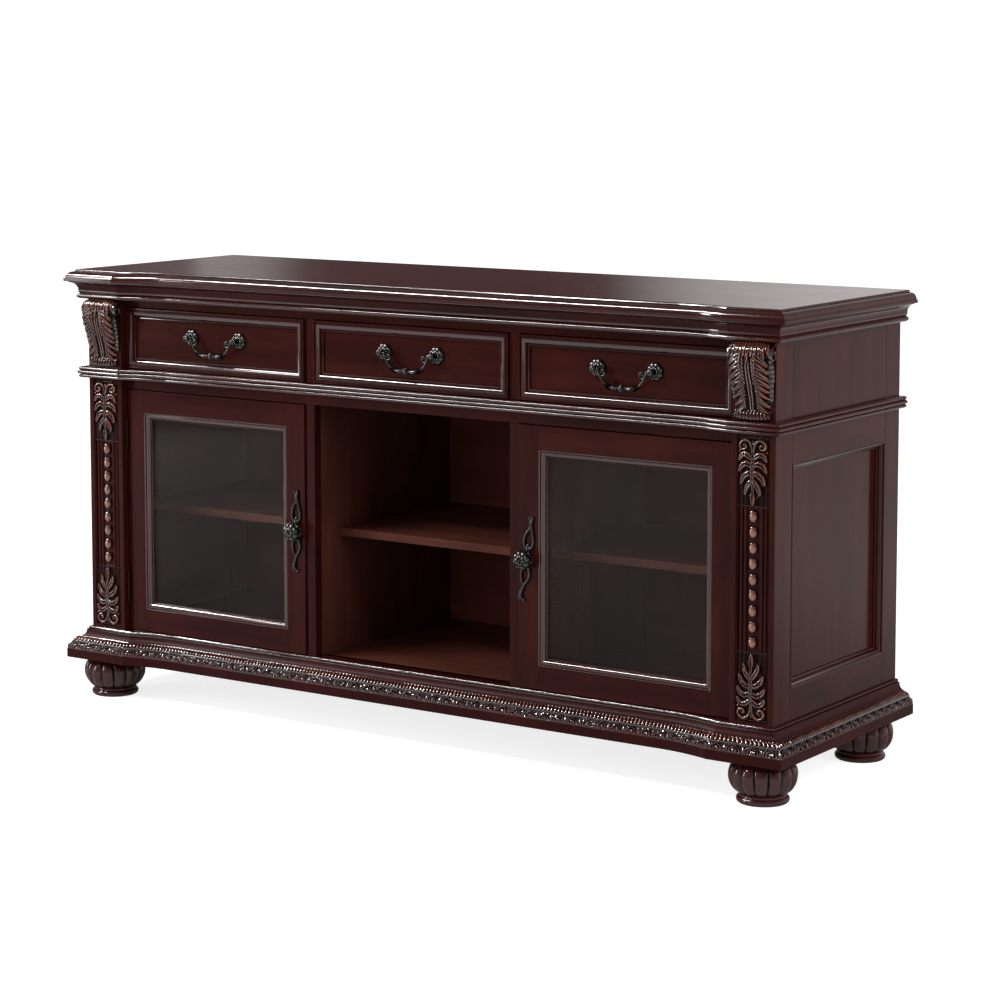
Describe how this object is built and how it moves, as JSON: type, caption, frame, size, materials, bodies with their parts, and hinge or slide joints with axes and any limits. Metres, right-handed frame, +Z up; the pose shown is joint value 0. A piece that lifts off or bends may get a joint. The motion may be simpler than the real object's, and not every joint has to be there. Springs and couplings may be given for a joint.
{
  "type": "tv stand",
  "caption": "Traditional breakfront media cabinet with carved posts and corbels, bail-pull drawers, glazed hinged doors, an open shelved middle bay and fluted bun feet.",
  "frame": {"origin": "on the floor under the middle of the bounding box", "axes": "+X to the viewer's right, +Y to the back, +Z up; the front faces -Y"},
  "size_m": [1.6762, 0.5211, 0.884],
  "materials": {
    "cherry": "dark cherry, high gloss lacquer",
    "inner_cherry": "dark cherry, satin lacquer",
    "drawer_wood": "plain sealed hardwood",
    "glass": "clear, bevelled",
    "antique_metal": "antique pewter, rubbed highlights",
    "hinge_brass": "antique brass",
    "pin_steel": "nickel plated",
    "catch_plastic": "dark brown"
  },
  "bodies": {
    "cabinet": {"top_board": "cherry", "crown_moulding": "cherry", "waist_moulding": "cherry", "base_moulding": "cherry", "face_stiles": "cherry", "top_rail": "cherry", "waist_rail": "cherry", "foot_front_left": "cherry", "foot_front_right": "cherry", "foot_back_left": "cherry", "foot_back_right": "cherry", "left_post": "cherry", "left_post_carving": "cherry", "left_corbel": "cherry", "left_side_frame": "cherry", "left_side_panels": "cherry", "left_panel_moulding": "cherry", "right_post": "cherry", "right_post_carving": "cherry", "right_corbel": "cherry", "right_side_frame": "cherry", "right_side_panels": "cherry", "right_panel_moulding": "cherry", "cabinet_floor": "inner_cherry", "drawer_deck": "inner_cherry", "middle_shelf": "inner_cherry", "base_back_rail": "inner_cherry", "back_panel": "inner_cherry", "left_divider": "inner_cherry", "left_shelf": "inner_cherry", "right_divider": "inner_cherry", "right_shelf": "inner_cherry", "foot_blocks": "drawer_wood", "drawer_runners": "drawer_wood", "hinge_frame_leaves": "hinge_brass", "shelf_pins": "pin_steel", "door_catches": "catch_plastic"},
    "left_drawer": {"left_drawer_front": "cherry", "left_drawer_box": "drawer_wood", "left_drawer_bottom": "drawer_wood", "left_pull_posts": "antique_metal"},
    "left_bail": {"left_bail": "antique_metal"},
    "middle_drawer": {"middle_drawer_front": "cherry", "middle_drawer_box": "drawer_wood", "middle_drawer_bottom": "drawer_wood", "middle_pull_posts": "antique_metal"},
    "middle_bail": {"middle_bail": "antique_metal"},
    "right_drawer": {"right_drawer_front": "cherry", "right_drawer_box": "drawer_wood", "right_drawer_bottom": "drawer_wood", "right_pull_posts": "antique_metal"},
    "right_bail": {"right_bail": "antique_metal"},
    "left_door": {"left_door_frame": "cherry", "left_door_glass": "glass", "left_door_hinge_leaves": "hinge_brass", "left_door_pull": "antique_metal"},
    "right_door": {"right_door_frame": "cherry", "right_door_glass": "glass", "right_door_hinge_leaves": "hinge_brass", "right_door_pull": "antique_metal"}
  },
  "joints": [
    {"name": "left_drawer_slide", "type": "slide", "parent": "cabinet", "child": "left_drawer", "axis": [0, -1, 0], "range_m": [0, 0.3]},
    {"name": "left_bail_swing", "type": "hinge", "parent": "left_drawer", "child": "left_bail", "pos_m": [-0.481, -0.215, 0.755], "axis": [-1, 0, 0], "range_deg": [0, 85]},
    {"name": "middle_drawer_slide", "type": "slide", "parent": "cabinet", "child": "middle_drawer", "axis": [0, -1, 0], "range_m": [0, 0.3]},
    {"name": "middle_bail_swing", "type": "hinge", "parent": "middle_drawer", "child": "middle_bail", "pos_m": [0, -0.215, 0.755], "axis": [-1, 0, 0], "range_deg": [0, 85]},
    {"name": "right_drawer_slide", "type": "slide", "parent": "cabinet", "child": "right_drawer", "axis": [0, -1, 0], "range_m": [0, 0.3]},
    {"name": "right_bail_swing", "type": "hinge", "parent": "right_drawer", "child": "right_bail", "pos_m": [0.481, -0.215, 0.755], "axis": [-1, 0, 0], "range_deg": [0, 85]},
    {"name": "left_door_hinge", "type": "hinge", "parent": "cabinet", "child": "left_door", "pos_m": [-0.7085, -0.212, 0.392], "axis": [0, 0, -1], "range_deg": [0, 105]},
    {"name": "right_door_hinge", "type": "hinge", "parent": "cabinet", "child": "right_door", "pos_m": [0.7085, -0.212, 0.392], "axis": [0, 0, 1], "range_deg": [0, 105]}
  ]
}
